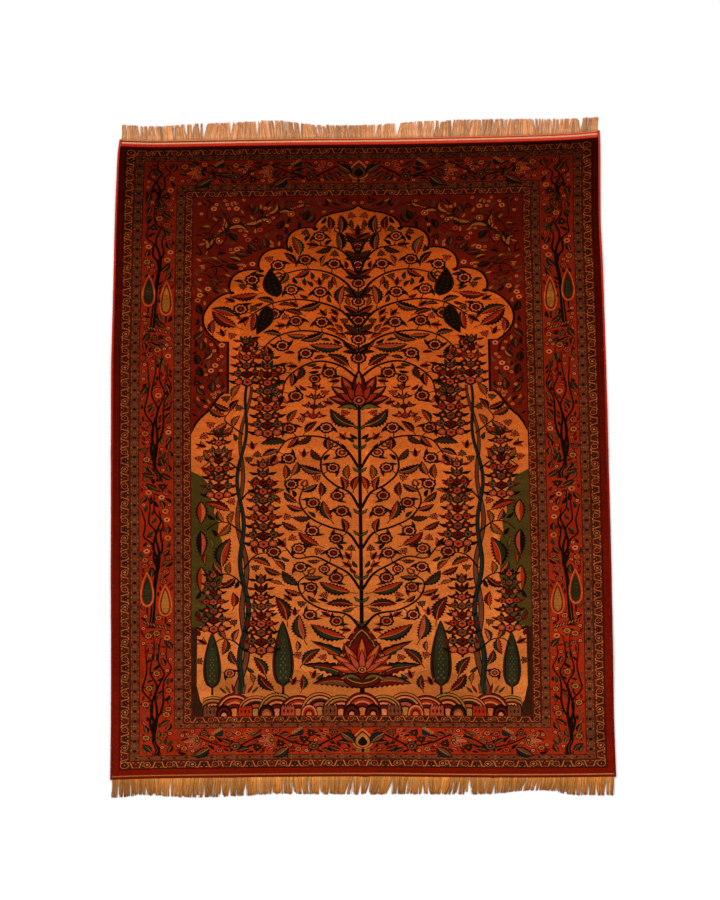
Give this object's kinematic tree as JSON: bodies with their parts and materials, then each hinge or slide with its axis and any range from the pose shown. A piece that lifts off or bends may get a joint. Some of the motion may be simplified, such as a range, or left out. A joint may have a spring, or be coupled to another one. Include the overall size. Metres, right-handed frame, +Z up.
{
  "type": "persian rug",
  "caption": "Room-size hand-knotted wool carpet with a floral field, framed borders, overcast side cords and knotted warp fringes, lying flat on a floor.",
  "frame": {"origin": "on the floor, under the middle of the whole outline, fringes included", "axes": "+Z up out of the pile, +Y along the length towards the picture's upper end, +X to the picture's right"},
  "size_m": [2.413, 3.301, 0.0132],
  "materials": {
    "pile": "hand-knotted wool pile, brick red ground with gold, green and dark floral pattern, flat-woven ends",
    "side_cord": "side cord overcast in red wool yarn",
    "fringe_far": "undyed cotton warp ends, light tan",
    "fringe_near": "undyed cotton warp ends, aged golden brown"
  },
  "bodies": {
    "root": {"rug": "pile", "side_cord_left": "side_cord", "side_cord_right": "side_cord", "fringe_far": "fringe_far", "fringe_near": "fringe_near"}
  },
  "joints": []
}
